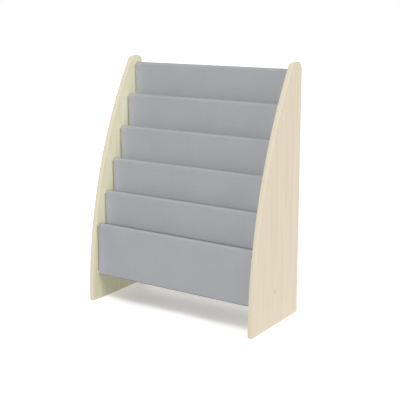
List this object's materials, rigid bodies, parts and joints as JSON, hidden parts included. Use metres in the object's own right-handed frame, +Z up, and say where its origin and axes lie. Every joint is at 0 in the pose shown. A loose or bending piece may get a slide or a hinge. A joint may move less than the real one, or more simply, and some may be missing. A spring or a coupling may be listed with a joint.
{
  "type": "sling bookshelf",
  "caption": "Free-standing children's bookshelf: two curved side panels with a canvas sling over rods, forming stepped front-facing book pockets.",
  "frame": {"origin": "on the floor, midway between the outer faces of the side panels and midway between their front and rear edges", "axes": "+X to the right as seen from the front, +Y to the rear, +Z up"},
  "size_m": [0.6, 0.272, 0.768],
  "materials": {
    "board": "pale maple foil on board, satin, with a faint upright grain",
    "edge_band": "plain cream edge strip, satin, slightly lighter than the board",
    "canvas": "flat cool grey plain-weave canvas, matt",
    "beech": "sanded beech, untreated",
    "zinc": "die-cast zinc, slightly worn"
  },
  "bodies": {
    "root": {"left_panel": "board", "right_panel": "board", "left_edge_band": "edge_band", "right_edge_band": "edge_band", "back_cloth": "canvas", "pocket_1_front": "canvas", "pocket_2_front": "canvas", "pocket_3_front": "canvas", "pocket_4_front": "canvas", "pocket_5_front": "canvas", "pocket_1_lining": "canvas", "pocket_2_lining": "canvas", "pocket_3_lining": "canvas", "pocket_4_lining": "canvas", "pocket_5_lining": "canvas", "top_rod": "beech", "pocket_1_rod": "beech", "pocket_2_rod": "beech", "pocket_3_rod": "beech", "pocket_4_rod": "beech", "pocket_5_rod": "beech", "pocket_1_fold_rod": "beech", "pocket_2_fold_rod": "beech", "pocket_3_fold_rod": "beech", "pocket_4_fold_rod": "beech", "pocket_5_fold_rod": "beech", "hem_rod": "beech", "upper_rail": "board", "lower_rail": "board", "upper_left_cam": "zinc", "upper_right_cam": "zinc", "lower_left_cam": "zinc", "lower_right_cam": "zinc", "upper_left_bolt": "zinc", "upper_right_bolt": "zinc", "lower_left_bolt": "zinc", "lower_right_bolt": "zinc", "upper_left_dowel": "beech", "upper_right_dowel": "beech", "lower_left_dowel": "beech", "lower_right_dowel": "beech"}
  },
  "joints": []
}
